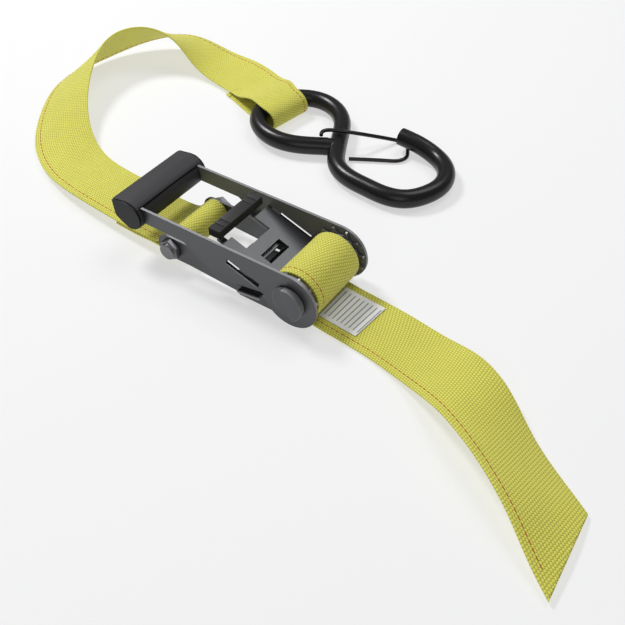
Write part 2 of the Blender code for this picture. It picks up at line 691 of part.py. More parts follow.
# ================================================================= short strap
loop = []
for i in range(9):
    a = math.radians(150 - 240.0 * i / 8)
    loop.append((BOLT_DX / MM + LOOP_R / MM * math.cos(a), 0.0,
                 BOLT_Z / MM + LOOP_R / MM * math.sin(a), 0, 0, 1))
bolt_end = ([(-190.0, 4.0, 9.4, 0, 0, 1), (-165.0, 1.5, 9.9, 0, 0, 1),
             (-141.0, 0.0, 10.2, 0, 0, 1), (-131.0, 0.0, 10.4, 0, 0, 1),
             (-124.2, 0.0, 11.6, 0, 0, 1), (-119.4, 0.0, 15.2, 0, 0, 1)]
            + loop
            + [(-116.0, 0.0, 5.9, 0, 0, 1), (-124.0, 0.0, 7.5, 0, 0, 1),
               (-140.0, 0.0, 7.75, 0, 0, 1), (-166.0, 1.5, 7.4, 0, 0, 1)])
turn_route = [(-343.3, 161.2, 22.1, -50.9, 0, 1),
              (-337.2, 105.0, 18.6, -33.6, 0, 1),
              (-317.0, 70.0, 13.5, -24.0, 0, 1),
              (-290.3, 40.5, 8.8, -14.0, 0, 1),
              (-255.5, 18.6, 6.2, -4.0, 0, 1),
              (-222.0, 8.5, 8.0, 0, 0, 1)]
hook_route = [(-321.9, 196.8, 24.7, -37.4, 0, 1),
              (-297.8, 209.8, 21.8, -22.0, 0, 1),
              (-262.4, 213.0, 8.2, -5.0, 0, 1),
              (-234.0, 209.3, 5.8, 5.0, 0, 0.98),
              (-212.0, 203.1, 6.8, 7.0, 1, 0.96),
              (-192.0, 194.2, 11.0, 5.0, 5, 0.94),
              (-178.5, 186.8, 19.6, 2.0, 9, 0.90),
              (-168.0, 181.6, 23.4, 0, 13, 0.88),
              (-158.0, 176.4, 23.5, 0, 16, 0.85),
              (-149.2, 174.6, 20.2, 0, 12, 0.83),
              (-144.7, 173.7, 14.0, 0, 9, 0.82),
              (-143.9, 173.5, 8.6, 0, 9, 0.82),
              (-145.7, 173.8, 3.8, 0, 10, 0.82),
              (-152.0, 175.0, 1.3, 0, 14, 0.84),
              (-162.0, 178.6, 1.0, 0, 14, 0.87),
              (-185.0, 190.0, 1.0, 0, 4, 0.95),
              (-212.0, 201.6, 1.0, 0, 0, 1)]
route = [tuple(s) for s in hook_route[::-1]] + turn_route + bolt_end
# the route above runs from the hook to the bolt, so its left edge is the
# inner one: bank is given for the inner edge raised
route = [(x, y, z, -b, k, w) for x, y, z, b, k, w in route]
short = strap("short_strap", route, 170, 1)
finish(short, YELLOW, 0.85)

# ================================================================= label
# a blank sewn-on tag near the spindle
tag = strap("label", turn + tail_route, 110, 1, thick=0.4 * MM,
            lift=1.45 * MM, keep=(32, 42))
for v in tag.data.vertices:
    v.co.y = (v.co.y + 0.4 * MM) * 0.7 + 1.2 * MM
finish(tag, (0.85, 0.85, 0.83), 0.6)

# ================================================================= S hook
hook_axis = pivot("hook_axis", (AXLE_X + EYE_CENTRE[0], EYE_CENTRE[1], 0))


def hook_z(x, y):
    """Height of the hook's centreline: the eye and the tip lie a little
    higher than the bowl."""
    tip = max(0.0, min(1.0, (-6.0 - x) / 28.0)) if y > 185 and x > -60 else 0.0
    return 7.5 + max(0.0, -60.0 - x) * 0.0235 + 4.7 * tip


hook_pts = [(-90.6, 152.6), (-102.5, 145.2), (-118.3, 137.8), (-134.0, 135.8),
            (-149.0, 139.8), (-161.6, 149.6), (-168.2, 163.0),
            (-168.0, 179.0), (-161.0, 193.5), (-149.0, 203.6),
            (-134.1, 208.0), (-114.3, 202.8), (-99.6, 188.8), (-89.6, 169.7),
            (-80.5, 150.9), (-69.7, 134.6), (-53.3, 125.6), (-33.5, 122.6),
            (-18.2, 121.6), (-2.2, 125.8), (9.9, 140.6), (14.2, 160.7),
            (7.3, 178.8), (-8.2, 190.6), (-24.6, 193.8), (-44.4, 194.8)]
line = spline([(A(x), (y - 0.6) * MM, hook_z(x, y) * MM)
               for x, y in hook_pts], 64)
hook = wire("s_hook", line, HOOK_WIRE_R, 3)
# the eye is closed: its end is welded to the leg it meets
weld = Vector((A(-93.5), 149.8 * MM, 8.25 * MM))
to_leg = Vector((A(-81.4), 156.4 * MM, 8.0 * MM)) - weld
bm = bmesh.new()
bmesh.ops.create_cone(bm, cap_ends=True, cap_tris=False, segments=16,
                      radius1=HOOK_WIRE_R * 0.97, radius2=HOOK_WIRE_R * 0.97,
                      depth=to_leg.length)
bm.transform(Matrix.Translation(weld + to_leg / 2)
             @ to_leg.to_track_quat("Z", "Y").to_matrix().to_4x4())
boolean(hook, from_bmesh("eye_weld", bm), "UNION")
finish(hook, BLACK, 0.35, 0.0)
hang(hook, hook_axis)

gate_pts = [(-96.4, 150.2, 17.9), (-97.8, 153.2, 18.6), (-96.6, 158.0, 18.6),
            (-91.4, 161.8, 18.5), (-80.3, 167.0, 18.0), (-67.0, 182.4, 11.0),
            (-56.0, 195.4, 4.7), (-51.8, 200.2, 2.3), (-46.5, 202.0, 1.8),
            (-40.0, 198.4, 1.7), (-35.0, 190.8, 1.7), (-32.2, 183.0, 1.7),
            (-35.0, 175.8, 1.7), (-43.0, 170.2, 1.75), (-70.9, 154.0, 2.0)]
line = spline([(A(x), y * MM, z * MM) for x, y, z in gate_pts], 48)
gate = wire("wire_gate", line, GATE_WIRE_R, 2)
finish(gate, BLACK, 0.3, 0.0)
hang(gate, hook_axis)
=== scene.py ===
# Looks for the ratchet tie down: woven webbing, plated steel, black coated
# hook, moulded grip, on a plain pale floor in soft studio light.
import json
import math

import bmesh
import bpy
import numpy as np
from mathutils import Matrix, Vector


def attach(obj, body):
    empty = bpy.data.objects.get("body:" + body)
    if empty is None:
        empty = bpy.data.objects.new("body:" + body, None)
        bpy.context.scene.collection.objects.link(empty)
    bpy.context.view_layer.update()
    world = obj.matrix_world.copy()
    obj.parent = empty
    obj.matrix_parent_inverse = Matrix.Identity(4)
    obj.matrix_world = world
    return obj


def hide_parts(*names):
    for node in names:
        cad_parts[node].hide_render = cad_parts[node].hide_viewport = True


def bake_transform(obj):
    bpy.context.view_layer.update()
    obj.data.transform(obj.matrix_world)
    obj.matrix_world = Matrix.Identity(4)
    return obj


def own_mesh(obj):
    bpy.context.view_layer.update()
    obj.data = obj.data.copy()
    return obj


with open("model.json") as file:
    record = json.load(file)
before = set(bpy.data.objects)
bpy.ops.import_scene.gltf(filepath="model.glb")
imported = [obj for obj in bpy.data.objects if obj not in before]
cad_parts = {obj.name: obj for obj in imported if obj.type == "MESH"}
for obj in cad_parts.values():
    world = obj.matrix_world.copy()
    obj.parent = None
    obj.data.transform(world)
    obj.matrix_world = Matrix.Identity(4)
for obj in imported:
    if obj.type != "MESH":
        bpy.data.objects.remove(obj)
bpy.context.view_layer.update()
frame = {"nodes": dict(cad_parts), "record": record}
nodes = frame["nodes"]
MM = 0.001
AX, AZ = 0.030, 0.0223          # spindle axis


def A(x):
    return AX + x * MM


# ------------------------------------------------------------------ camera
def make_camera():
    az, el = math.radians(34.17), math.radians(44.71)
    back = Vector((math.sin(az) * math.cos(el), -math.cos(az) * math.cos(el),
                   math.sin(el)))
    right = Vector((math.cos(az), math.sin(az), 0))
    up = back.cross(right)
    cam = bpy.data.cameras.new("camera")
    cam.lens = 50
    cam.sensor_width = 36
    cam.clip_start = 0.01
    ob = bpy.data.objects.new("camera", cam)
    ob.matrix_world = (Matrix.Translation(Vector((276.4, -367.7, 423.9)) * MM)
                       @ Matrix((right, up, back)).transposed().to_4x4())
    bpy.context.scene.collection.objects.link(ob)
    bpy.context.scene.camera = ob
    return ob


camera = make_camera()


# ------------------------------------------------------------------ materials
def principled(name, colour, rough, metal=0.0, **more):
    m = bpy.data.materials.new(name)
    m.use_nodes = True
    b = m.node_tree.nodes["Principled BSDF"]
    b.inputs["Base Color"].default_value = (*colour, 1)
    b.inputs["Roughness"].default_value = rough
    b.inputs["Metallic"].default_value = metal
    for k, v in more.items():
        b.inputs[k.replace("_", " ")].default_value = v
    return m


def add(nt, kind, **props):
    n = nt.nodes.new(kind)
    for k, v in props.items():
        setattr(n, k, v)
    return n


def math_node(nt, op, a, b=None, clamp=False):
    n = nt.nodes.new("ShaderNodeMath")
    n.operation = op
    n.use_clamp = clamp
    for i, v in enumerate((a, b)):
        if v is None:
            continue
        if isinstance(v, (int, float)):
            n.inputs[i].default_value = v
        else:
            nt.links.new(v, n.inputs[i])
    return n.outputs[0]


def fine_grain(m, scale, amount, rough=None):
    """Small surface grain: bump, and roughness a little uneven."""
    nt = m.node_tree
    b = nt.nodes["Principled BSDF"]
    tc = add(nt, "ShaderNodeTexCoord")
    noise = add(nt, "ShaderNodeTexNoise")
    noise.inputs["Scale"].default_value = scale
    noise.inputs["Detail"].default_value = 3
    nt.links.new(tc.outputs["Object"], noise.inputs["Vector"])
    bump = add(nt, "ShaderNodeBump")
    bump.inputs["Strength"].default_value = amount
    bump.inputs["Distance"].default_value = 0.0002
    nt.links.new(noise.outputs["Fac"], bump.inputs["Height"])
    nt.links.new(bump.outputs["Normal"], b.inputs["Normal"])
    if rough:
        r = math_node(nt, "MULTIPLY_ADD", noise.outputs["Fac"], rough[1] - rough[0])
        r.node.inputs[2].default_value = rough[0]
        nt.links.new(r, b.inputs["Roughness"])
    return m


steel = fine_grain(principled("dark_plated_steel", (0.098, 0.1, 0.105), 0.38, 0.8),
                   900, 0.12, (0.30, 0.44))
# lighter steel painted on outline and bevel faces as edge highlight
edge_highlight = principled("edge_highlight_steel", (0.27, 0.27, 0.28), 0.5, 0.5)
# lighter, less metallic steel painted on the side plates' inner faces as reflection of the bright
# surroundings
inner = principled("inner_face_reflection_steel", (0.17, 0.17, 0.165), 0.5, 0.3)
fastener = fine_grain(principled("fastener_steel", (0.19, 0.19, 0.2), 0.38, 0.85),
                      700, 0.1, (0.32, 0.44))
# near-black painted inside the side guide slots as shade
slot_shade = principled("slot_painted_shade", (0.006, 0.006, 0.007), 0.8,
                    Specular_IOR_Level=0.1)
bright = fine_grain(principled("plain_plated_steel", (0.30, 0.30, 0.31), 0.3, 0.95),
                    700, 0.1, (0.25, 0.36))
grip_mat = fine_grain(principled("grip_plastic", (0.032, 0.0315, 0.0345), 0.5, Specular_IOR_Level=0.35),
                      1600, 0.2, (0.46, 0.56))
black_mat = fine_grain(principled("black_plastic", (0.026, 0.025, 0.0265), 0.5, Specular_IOR_Level=0.35),
                       1600, 0.2, (0.38, 0.5))
cap_mat = fine_grain(principled("grip_cap_plastic", (0.004, 0.005, 0.0055), 0.55, Specular_IOR_Level=0.3),
                     1600, 0.15, (0.42, 0.55))
hook_mat = fine_grain(principled("hook_coating", (0.0085, 0.0078, 0.0088), 0.3,
                                 Specular_IOR_Level=0.35),
                      500, 0.18, (0.26, 0.34))
gate_mat = principled("gate_steel", (0.02, 0.02, 0.022), 0.25, 0.4)
thread = principled("stitch_thread", (0.42, 0.11, 0.02), 0.7)


def webbing_material():
    """Woven webbing.  The UV map holds millimetres along and across."""
    m = principled("yellow_webbing", (0.76, 0.78, 0.11), 0.8,
                   Sheen_Weight=0.15, Sheen_Roughness=0.5)
    nt = m.node_tree
    b = nt.nodes["Principled BSDF"]
    uv = add(nt, "ShaderNodeUVMap", uv_map="weave")
    sep = add(nt, "ShaderNodeSeparateXYZ")
    nt.links.new(uv.outputs["UV"], sep.inputs[0])
    u, v = sep.outputs["X"], sep.outputs["Y"]      # cm along, cm across
    rows = math_node(nt, "MULTIPLY", v, 10 / 1.8)
    row = math_node(nt, "FLOOR", rows)
    shift = math_node(nt, "MULTIPLY", row, 0.36)
    cols = math_node(nt, "ADD", math_node(nt, "MULTIPLY", u, 10 / 2.3), shift)
    fx = math_node(nt, "FRACT", cols)
    fy = math_node(nt, "FRACT", rows)
    # a plump stitch in each cell, slanted
    sx = math_node(nt, "SINE", math_node(nt, "MULTIPLY", fx, math.pi))
    sy = math_node(nt, "SINE", math_node(nt, "MULTIPLY", fy, math.pi))
    h = math_node(nt, "MULTIPLY", math_node(nt, "POWER", sx, 0.55),
                  math_node(nt, "POWER", sy, 0.4))
    bump = add(nt, "ShaderNodeBump")
    bump.inputs["Strength"].default_value = 0.8
    bump.inputs["Distance"].default_value = 0.00035
    nt.links.new(h, bump.inputs["Height"])
    nt.links.new(bump.outputs["Normal"], b.inputs["Normal"])
    # the colour darkens from the stitch tops into the grooves between them, yellow to dark olive: painted
    # shade
    groove_shade = add(nt, "ShaderNodeMapRange")
    groove_shade.inputs["From Min"].default_value = 0.1
    groove_shade.inputs["From Max"].default_value = 0.75
    nt.links.new(h, groove_shade.inputs["Value"])
    # broad unevenness of the dye
    tc = add(nt, "ShaderNodeTexCoord")
    noise = add(nt, "ShaderNodeTexNoise")
    noise.inputs["Scale"].default_value = 60
    nt.links.new(tc.outputs["Object"], noise.inputs["Vector"])
    mix = add(nt, "ShaderNodeMix", data_type="RGBA")
    nt.links.new(groove_shade.outputs[0], mix.inputs["Factor"])
    mix.inputs["A"].default_value = (0.35, 0.33, 0.035, 1)
    mix.inputs["B"].default_value = (0.78, 0.755, 0.115, 1)
    mix2 = add(nt, "ShaderNodeMix", data_type="RGBA", blend_type="MULTIPLY")
    nt.links.new(mix.outputs["Result"], mix2.inputs["A"])
    ramp = add(nt, "ShaderNodeMapRange")
    ramp.inputs["To Min"].default_value = 0.93
    ramp.inputs["To Max"].default_value = 1.04
    nt.links.new(noise.outputs["Fac"], ramp.inputs["Value"])
    comb = add(nt, "ShaderNodeCombineColor")
    for i in range(3):
        nt.links.new(ramp.outputs[0], comb.inputs[i])
    nt.links.new(comb.outputs[0], mix2.inputs["B"])
    mix2.inputs["Factor"].default_value = 1.0
    nt.links.new(mix2.outputs["Result"], b.inputs["Base Color"])
    return m


web_mat = webbing_material()


def label_material():
    """White tag with plain grey rules across it."""
    m = principled("label_cloth", (0.86, 0.86, 0.85), 0.6)
    nt = m.node_tree
    b = nt.nodes["Principled BSDF"]
    uv = add(nt, "ShaderNodeUVMap", uv_map="weave")
    sep = add(nt, "ShaderNodeSeparateXYZ")
    nt.links.new(uv.outputs["UV"], sep.inputs[0])
    u, v = sep.outputs["X"], sep.outputs["Y"]
    f = math_node(nt, "FRACT", math_node(nt, "MULTIPLY", u, 1 / 0.36))
    line = math_node(nt, "LESS_THAN", f, 0.26)
    side = math_node(nt, "LESS_THAN", math_node(nt, "ABSOLUTE", v), 1.38)
    a = math_node(nt, "MULTIPLY", line, side)
    mix = add(nt, "ShaderNodeMix", data_type="RGBA")
    nt.links.new(a, mix.inputs["Factor"])
    mix.inputs["A"].default_value = (0.88, 0.88, 0.87, 1)
    mix.inputs["B"].default_value = (0.30, 0.30, 0.31, 1)
    nt.links.new(mix.outputs["Result"], b.inputs["Base Color"])
    return m


label_mat = label_material()


# ------------------------------------------------------------------ helpers
def link(name, me, *mats):
    ob = bpy.data.objects.new(name, me)
    bpy.context.scene.collection.objects.link(ob)
    for m in mats:
        me.materials.append(m)
    return ob


def spline(points, samples):
    """Natural cubic spline through rows of numbers, by chord length."""
    p = np.array(points, float)
    d = np.r_[0, np.cumsum(np.linalg.norm(np.diff(p[:, :3], axis=0), axis=1))]
    n = len(d)
    h = np.diff(d)
    a = np.zeros((n, n))
    b = np.zeros((n, p.shape[1]))
    a[0, 0] = a[-1, -1] = 1.0
    for i in range(1, n - 1):
        a[i, i - 1], a[i, i], a[i, i + 1] = h[i - 1], 2 * (h[i - 1] + h[i]), h[i]
        b[i] = 6 * ((p[i + 1] - p[i]) / h[i] - (p[i] - p[i - 1]) / h[i - 1])
    m = np.linalg.solve(a, b)
    out = []
    for u in np.linspace(0, d[-1], samples):
        i = min(int(np.searchsorted(d, u, side="right")) - 1, n - 2)
        s, t = d[i + 1] - u, u - d[i]
        out.append((m[i] * s ** 3 + m[i + 1] * t ** 3) / (6 * h[i])
                   + (p[i] / h[i] - m[i] * h[i] / 6) * s
                   + (p[i + 1] / h[i] - m[i + 1] * h[i] / 6) * t)
    return np.array(out)


WIDTH, THICK = 50 * MM, 1.9 * MM


class Ribbon:
    """Frames along a strap: centre, left, normal, width factor, length."""

    def __init__(self, stations, samples):
        rows = spline([[a * MM for a in s[:3]] + list(s[3:6])
                       for s in stations], samples)
        c = rows[:, :3].copy()
        tan = np.gradient(c, axis=0)
        prev = None
        self.c, self.l, self.n, self.k, self.t = [], [], [], [], []
        for i in range(samples):
            t = Vector(tan[i]).normalized()
            if Vector((t.x, t.y)).length > 0.05:
                left = Vector((-t.y, t.x, 0)).normalized()
                if prev is not None and left.dot(prev) < 0:
                    left = -left
            else:
                left = prev.copy()
            prev = left
            left = Matrix.Rotation(math.radians(rows[i, 4]), 3, "Z") @ left
            left.normalize()
            x, y = c[i, 0] / MM, c[i, 1] / MM
            if y > 150 and x > -205:
                # the crease over the hook's wire turns evenly
                q = min(1.0, (x + 205) / 57)
                a = math.radians(62 + 18.5 * q * q * (3 - 2 * q))
                left = Vector((math.cos(a), math.sin(a), 0)) * (
                    1 if left.y > 0 else -1)
            up = t.cross(left).normalized()
            bank = math.radians(rows[i, 3])
            side = left * math.cos(bank) + up * math.sin(bank)
            z = max(c[i, 2], THICK / 2 + abs(side.z) * WIDTH * rows[i, 5] / 2)
            self.c.append(Vector((c[i, 0] + AX, c[i, 1], z)))
            self.l.append(side)
            self.n.append(t.cross(side).normalized())
            self.t.append(t)
            self.k.append(rows[i, 5])
        d = [0.0]
        for i in range(1, samples):
            d.append(d[-1] + (self.c[i] - self.c[i - 1]).length)
        self.d = d
        self.count = samples

    def at(self, s, v, w):
        """Point s metres along, v across (-1..1), w metres off the middle."""
        i = min(max(int(np.searchsorted(self.d, s)) - 1, 0), self.count - 2)
        f = (s - self.d[i]) / max(self.d[i + 1] - self.d[i], 1e-9)
        c = self.c[i].lerp(self.c[i + 1], f)
        l = self.l[i].lerp(self.l[i + 1], f)
        n = self.n[i].lerp(self.n[i + 1], f)
        k = self.k[i] * (1 - f) + self.k[i + 1] * f
        return c + l * (v * WIDTH / 2 * k) + n * w, l.normalized(), n.normalized()

    def mesh(self, name, mat, across=14, width=1.0, thick=THICK, lift=0.0,
             i0=0, i1=None, shift=0.0):
        """Closed sheet with round selvedges, its UVs in centimetres."""
        i1 = self.count if i1 is None else i1
        r = thick / 2
        hw = WIDTH / 2 * width
        prof = []
        for j in range(across + 1):
            prof.append(((-1 + 2 * j / across) * (hw - r), r))
        for a in (60, 20, -20, -60):
            prof.append((hw - r + r * math.cos(math.radians(a)),
                         r * math.sin(math.radians(a))))
        for j in range(across + 1):
            prof.append(((1 - 2 * j / across) * (hw - r), -r))
        for a in (240, 200, 160, 120):
            prof.append((-hw + r + r * math.cos(math.radians(a)),
                         r * math.sin(math.radians(a))))
        m = len(prof)
        bm = bmesh.new()
        rings = []
        for i in range(i0, i1):
            ring = []
            for y, w in prof:
                ring.append(bm.verts.new(self.c[i] + self.l[i] * ((y + shift)
                                         * self.k[i]) + self.n[i] * (w + lift)))
            rings.append(ring)
        layer = bm.loops.layers.uv.new("weave")

        def face(vs, uvs):
            f = bm.faces.new(vs)
            f.smooth = True
            for lp, q in zip(f.loops, uvs):
                lp[layer].uv = q
            return f

        for i in range(len(rings) - 1):
            u0, u1 = self.d[i0 + i] * 100, self.d[i0 + i + 1] * 100
            for j in range(m):
                k = (j + 1) % m
                a, b = prof[j], prof[k]
                face([rings[i][j], rings[i][k], rings[i + 1][k], rings[i + 1][j]],
                     [(u0, a[0] * 100), (u0, b[0] * 100), (u1, b[0] * 100),
                      (u1, a[0] * 100)])
        for ring, flip in ((rings[0], False), (rings[-1], True)):
            f = bm.faces.new(ring if flip else ring[::-1])
            for lp in f.loops:
                lp[layer].uv = (0.05, 0.05)
        bmesh.ops.recalc_face_normals(bm, faces=bm.faces)
        me = bpy.data.meshes.new(name)
        bm.to_mesh(me)
        bm.free()
        return link(name, me, mat)


def dashes(name, rib, v, s0, s1, side, pitch=4.6 * MM, run=3.6 * MM,
           r=0.4 * MM):
    """Row of short sewn stitches standing just out of the webbing."""
    bm = bmesh.new()
    s = s0
    while s + run < s1:
        rings = []
        for q in range(7):
            f = q / 6
            p, l, n = rib.at(s + run * f, v, 0)
            depth = math.sin(math.pi * f) ** 0.5
            base = p + n * (side * (THICK / 2 - r * 0.9 + r * 0.75 * depth))
            ring = []
            for j in range(6):
                a = 2 * math.pi * j / 6
                ring.append(bm.verts.new(base + l * (r * 1.15 * math.cos(a))
                                         + n * (r * math.sin(a))))
            rings.append(ring)
        for q in range(6):
            for j in range(6):
                k = (j + 1) % 6
                f = bm.faces.new([rings[q][j], rings[q][k], rings[q + 1][k],
                                  rings[q + 1][j]])
                f.smooth = True
        bm.faces.new(rings[0][::-1])
        bm.faces.new(rings[-1])
        s += pitch
    bmesh.ops.recalc_face_normals(bm, faces=bm.faces)
    me = bpy.data.meshes.new(name)
    bm.to_mesh(me)
    bm.free()
    return link(name, me, thread)


def tube(name, pts, r, mat, sides=24, cap=0.0):
    """Round bar along points, in metres, with softly rounded ends."""
    pts = [Vector(p) for p in pts]
    n = len(pts)
    bm = bmesh.new()
    ref = None
    rings = []

    def ring(c, t, rad):
        nonlocal ref
        if ref is None:
            ref = Vector((0, 0, 1)) - t * t.z
            if ref.length < 0.1:
                ref = Vector((1, 0, 0)) - t * t.x
        ref = (ref - t * ref.dot(t)).normalized()
        b = t.cross(ref)
        rings.append([bm.verts.new(c + ref * (rad * math.cos(2 * math.pi * j / sides))
                                   + b * (rad * math.sin(2 * math.pi * j / sides)))
                      for j in range(sides)])

    for i in range(n):
        t = (pts[min(i + 1, n - 1)] - pts[max(i - 1, 0)]).normalized()
        if i == 0 and cap:
            for q in range(5):
                a = math.radians(18 * q)
                ring(pts[0] + t * (cap * (1 - math.sin(a))), t,
                     r - cap + cap * math.sin(a))if q else ring(
                         pts[0], t, r - cap)
            continue
        if i == n - 1 and cap:
            for q in range(4, -1, -1):
                a = math.radians(18 * q)
                ring(pts[-1] - t * (cap * (1 - math.cos(math.radians(90) - a))
                                    ), t, r - cap + cap * math.sin(a))
            continue
        ring(pts[i], t, r)
    for i in range(len(rings) - 1):
        for j in range(sides):
            k = (j + 1) % sides
            f = bm.faces.new([rings[i][j], rings[i][k], rings[i + 1][k],
                              rings[i + 1][j]])
            f.smooth = True
    bm.faces.new(rings[0][::-1])
    bm.faces.new(rings[-1])
    bmesh.ops.recalc_face_normals(bm, faces=bm.faces)
    me = bpy.data.meshes.new(name)
    bm.to_mesh(me)
    bm.free()
    return link(name, me, mat)


def refined(node, *mats, width=0.35 * MM, segments=2, angle=35, rim=None):
    """Same solid as a CAD node with rounded edges.  rim(face centre, normal)
    is true for faces that take the second material.  Where one is given, that
    material, which the bevel faces take too, is a painted edge highlight."""
    bm = bmesh.new()
    bm.from_mesh(nodes[node].data)
    bmesh.ops.remove_doubles(bm, verts=bm.verts, dist=0.00001)
    bmesh.ops.dissolve_limit(bm, angle_limit=math.radians(0.6), verts=bm.verts,
                             edges=bm.edges)
    for f in bm.faces:
        f.material_index = int(rim(f.calc_center_median(), f.normal)) if rim else 0
        f.smooth = True
    me = bpy.data.meshes.new(node + "_fine")
    bm.to_mesh(me)
    bm.free()
    ob = link(node + "_fine", me, *mats)
    if width:
        mod = ob.modifiers.new("edges", "BEVEL")
        mod.width = width
        mod.segments = segments
        mod.limit_method = "ANGLE"
        mod.angle_limit = math.radians(angle)
        mod.use_clamp_overlap = True
        mod.harden_normals = True
        # bevel faces take the second material: the painted edge highlight
        if len(mats) > 1:
            mod.material = 1
    me.set_sharp_from_angle(angle=math.radians(angle))
    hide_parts(node)
    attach(ob, body_of[node])
    return ob


body_of = {n: b for b, ns in frame["record"]["behaviour"]["bodies"].items()
           for n in ns}


def place(ob, body, *covers, slot=None):
    if covers:
        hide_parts(*covers)
    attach(ob, body)
    return ob


# ------------------------------------------------------------------ steel
SLOPE = math.atan(0.35)                 # the handle's web plate
WEB_U = Vector((math.cos(SLOPE), 0, -math.sin(SLOPE)))
WEB_W = Vector((math.sin(SLOPE), 0, math.cos(SLOPE)))
WEB_0 = Vector((A(-62), 0, 36.445 * MM))


def handle_faces(c, n):
    """0 plate, 1 outline (painted edge highlight), 2 inside of the side guides (painted shade), 3 inner
    faces (painted reflection).
    """
    # inner faces of the side plates take material 3, the painted reflection
    if n.y * c.y < 0 and abs(n.y) > 0.8 and 30.2 * MM < abs(c.y) < 30.6 * MM:
        return 3
    u, w = (c - WEB_0).dot(WEB_U), (c - WEB_0).dot(WEB_W)
    # inside faces of the side guide slots take material 2, near-black painted shade
    if 28.6 * MM < abs(c.y) < 31.95 * MM and 3 * MM < u < 39.2 * MM \
            and -2.7 * MM < w < 2.1 * MM:
        return 2
    # outline faces of the side plates take material 1, the painted edge highlight
    return abs(n.y) < 0.6 and abs(c.y) > 30.45 * MM and (
        c.z > 42 * MM or c.x > A(-14) or c.z < 9.6 * MM)


def bar_in_web(name, u0, u1, y0, y1, w0, w1, mat):
    """Thin bar lying along the web plate's slope, millimetres."""
    bm = bmesh.new()
    bmesh.ops.create_cube(bm, size=1)
    for v in bm.verts:
        u = (u0 + u1) / 2 + v.co.x * (u1 - u0)
        y = (y0 + y1) / 2 + v.co.y * (y1 - y0)
        w = (w0 + w1) / 2 + v.co.z * (w1 - w0)
        v.co = WEB_0 + WEB_U * (u * MM) + WEB_W * (w * MM) + Vector((0, y * MM, 0))
    bmesh.ops.bevel(bm, geom=bm.edges[:], offset=0.15 * MM, segments=2,
                    affect="EDGES")
    bmesh.ops.recalc_face_normals(bm, faces=bm.faces)
    me = bpy.data.meshes.new(name)
    bm.to_mesh(me)
    bm.free()
    ob = link(name, me, mat)
    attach(ob, "handle")
    return ob


refined("handle_frame", steel, edge_highlight, slot_shade, inner, width=0.32 * MM,
                rim=handle_faces)
# outline faces of the frame, pawls and spindle heads take the painted edge highlight
refined("base_frame", steel, edge_highlight, width=0.3 * MM,
                rim=lambda c, n: abs(n.y) < 0.6 and abs(c.y) > 25.6 * MM)
refined("lock_pawl", steel, edge_highlight, width=0.25 * MM,
                rim=lambda c, n: abs(n.z) < 0.6)
refined("drive_pawl", steel, edge_highlight, width=0.25 * MM,
                rim=lambda c, n: c.x < A(-61))
for name in ("spindle_half_upper", "spindle_half_lower"):
    refined(name, steel, edge_highlight, width=0.3 * MM,
                    rim=lambda c, n: abs(n.y) < 0.5 and abs(c.y) > 33 * MM)
for name in ("ratchet_wheel_near", "ratchet_wheel_far"):
    refined(name, bright, width=0.2 * MM)
refined("strap_bolt", fastener, width=0.35 * MM)
refined("bolt_nut", fastener, width=0.4 * MM)
refined("bolt_washer", fastener, width=0.15 * MM)
refined("bolt_sleeve", bright, width=0.2 * MM)
refined("grip_rod", bright, width=0.2 * MM)
refined("grip_sleeve", grip_mat, width=0.45 * MM, segments=3, angle=30)
for name in ("grip_cap_near", "grip_cap_far"):
    refined(name, cap_mat, width=0.5 * MM, segments=3, angle=30)
refined("pull_bar", black_mat, width=0.5 * MM, segments=3, angle=30)

# drawn lips of the pressed guides, painted lighter than their plate as highlight: the near one in the
# edge highlight steel, the far one in the plain plated steel
for side, part, y0, y1, w0, w1 in (("near", "outer", -32.9, -32.2, -3.1, -2.35),
                                   ("far", "inner", 29.8, 30.6, 1.75, 2.35)):
    bar_in_web("guide_lip_%s_%s" % (side, part), 10.5, 39.0, y0, y1, w0, w1,
               edge_highlight if side == "near" else bright)

# springs keep their solids, and take the plain plated steel
for name, joint, axis in (
        ("lock_pawl_spring", "lock_pawl_slide", (-0.99144, 0, -0.13057)),
        ("drive_pawl_spring", "drive_pawl_slide", (-0.94386, 0, 0.33035))):
    o = nodes[name]
    o.data.materials.clear()
    o.data.materials.append(bright)
    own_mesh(o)

# ------------------------------------------------------------------ hook
hook_pts = [(-90.6, 152.6), (-102.5, 145.2), (-118.3, 137.8), (-134.0, 135.8),
            (-149.0, 139.8), (-161.6, 149.6), (-168.2, 163.0),
            (-168.0, 179.0), (-161.0, 193.5), (-149.0, 203.6),
            (-134.1, 208.0), (-114.3, 202.8), (-99.6, 188.8), (-89.6, 169.7),
            (-80.5, 150.9), (-69.7, 134.6), (-53.3, 125.6), (-33.5, 122.6),
            (-18.2, 121.6), (-2.2, 125.8), (9.9, 140.6), (14.2, 160.7),
            (7.3, 178.8), (-8.2, 190.6), (-24.6, 193.8), (-44.4, 194.8)]


def hook_z(x, y):
    tip = max(0.0, min(1.0, (-6.0 - x) / 28.0)) if y > 185 and x > -60 else 0.0
    return 7.5 + max(0.0, -60.0 - x) * 0.0235 + 4.7 * tip


line = spline([(A(x), (y - 0.6) * MM, hook_z(x, y) * MM) for x, y in hook_pts], 260)
hook = tube("hook_bar", line, 7.5 * MM, hook_mat, sides=40, cap=1.1 * MM)
# the eye's end is welded to the leg it meets
weld = tube("eye_weld", [(A(-93.5), 149.8 * MM, 8.25 * MM),
                         (A(-87.5), 153.1 * MM, 8.12 * MM),
                         (A(-81.4), 156.4 * MM, 8.0 * MM)], 7.43 * MM, hook_mat,
            sides=40)
mod = hook.modifiers.new("weld", "BOOLEAN")
mod.operation = "UNION"
mod.object = weld
dg = bpy.context.evaluated_depsgraph_get()
me = bpy.data.meshes.new_from_object(hook.evaluated_get(dg))
hook.modifiers.clear()
hook.data = me
bpy.data.objects.remove(weld)
for p in me.polygons:
    p.use_smooth = True
me.set_sharp_from_angle(angle=math.radians(50))
place(hook, "hook", "s_hook", slot="hook_black")

